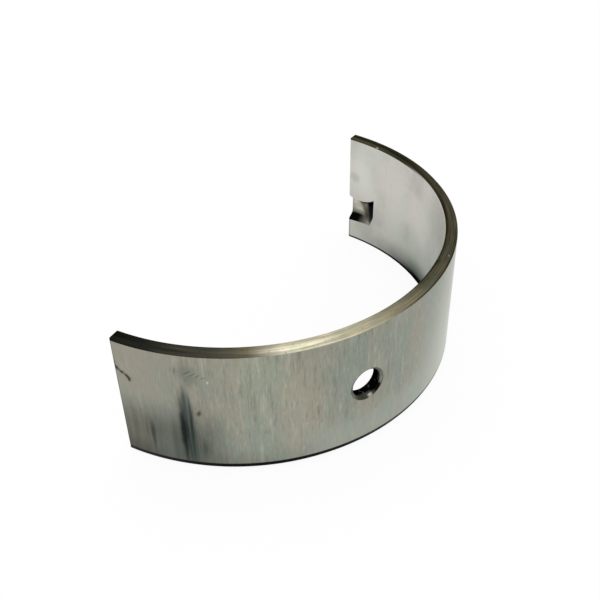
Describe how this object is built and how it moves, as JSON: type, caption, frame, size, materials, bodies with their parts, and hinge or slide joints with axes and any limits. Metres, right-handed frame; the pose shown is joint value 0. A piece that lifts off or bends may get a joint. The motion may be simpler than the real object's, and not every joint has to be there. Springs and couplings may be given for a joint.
{
  "type": "engine bearing shell",
  "caption": "Half-round plain bearing shell of lined steel strip, with chamfered edges, a countersunk oil hole and a pressed-out locating lug, for a crank journal.",
  "frame": {"origin": "on the bearing axis, at half of the shell's width", "axes": "+Z along the bearing axis, up when the shell stands on its lower edge; the crown is at -Y, the joint faces look to +Y, and the locating lug is at the +X end"},
  "size_m": [0.073, 0.034, 0.0228],
  "materials": {
    "shell": "satin, fine axial brushing on the back"
  },
  "bodies": {
    "root": {"bearing_shell": "shell"}
  },
  "joints": []
}
